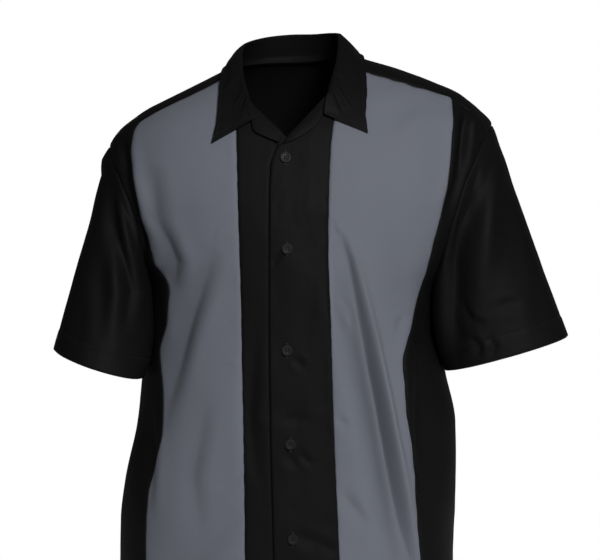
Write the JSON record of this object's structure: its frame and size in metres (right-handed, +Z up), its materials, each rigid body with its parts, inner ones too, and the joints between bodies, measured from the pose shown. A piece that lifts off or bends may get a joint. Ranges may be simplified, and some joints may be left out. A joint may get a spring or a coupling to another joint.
{
  "type": "bowling shirt",
  "caption": "Short-sleeved bowling shirt in its worn shape: black poplin with a grey-blue panel down each front, open notched collar and a buttoned front",
  "frame": {"origin": "the level of the neck's base, midway between the shoulders, where the wearer carries the shirt", "axes": "+Z up from hem to collar, +X to the wearer's left, -Y out of the buttoned front"},
  "size_m": [0.613, 0.2922, 0.8078],
  "materials": {
    "black_cloth": "smooth plain-weave poplin, faint sheen",
    "slate_cloth": "smooth plain-weave poplin, faint sheen",
    "button_plastic": "polished"
  },
  "bodies": {
    "root": {"back": "black_cloth", "yoke": "black_cloth", "front_left_centre": "black_cloth", "front_right_centre": "black_cloth", "front_left_insert": "slate_cloth", "front_right_insert": "slate_cloth", "front_left_side": "black_cloth", "front_right_side": "black_cloth", "sleeve_left": "black_cloth", "sleeve_right": "black_cloth", "collar": "black_cloth", "lapel_left": "black_cloth", "lapel_right": "black_cloth", "button_1": "button_plastic", "button_2": "button_plastic", "button_3": "button_plastic", "button_4": "button_plastic", "button_5": "button_plastic", "button_6": "button_plastic"}
  },
  "joints": []
}
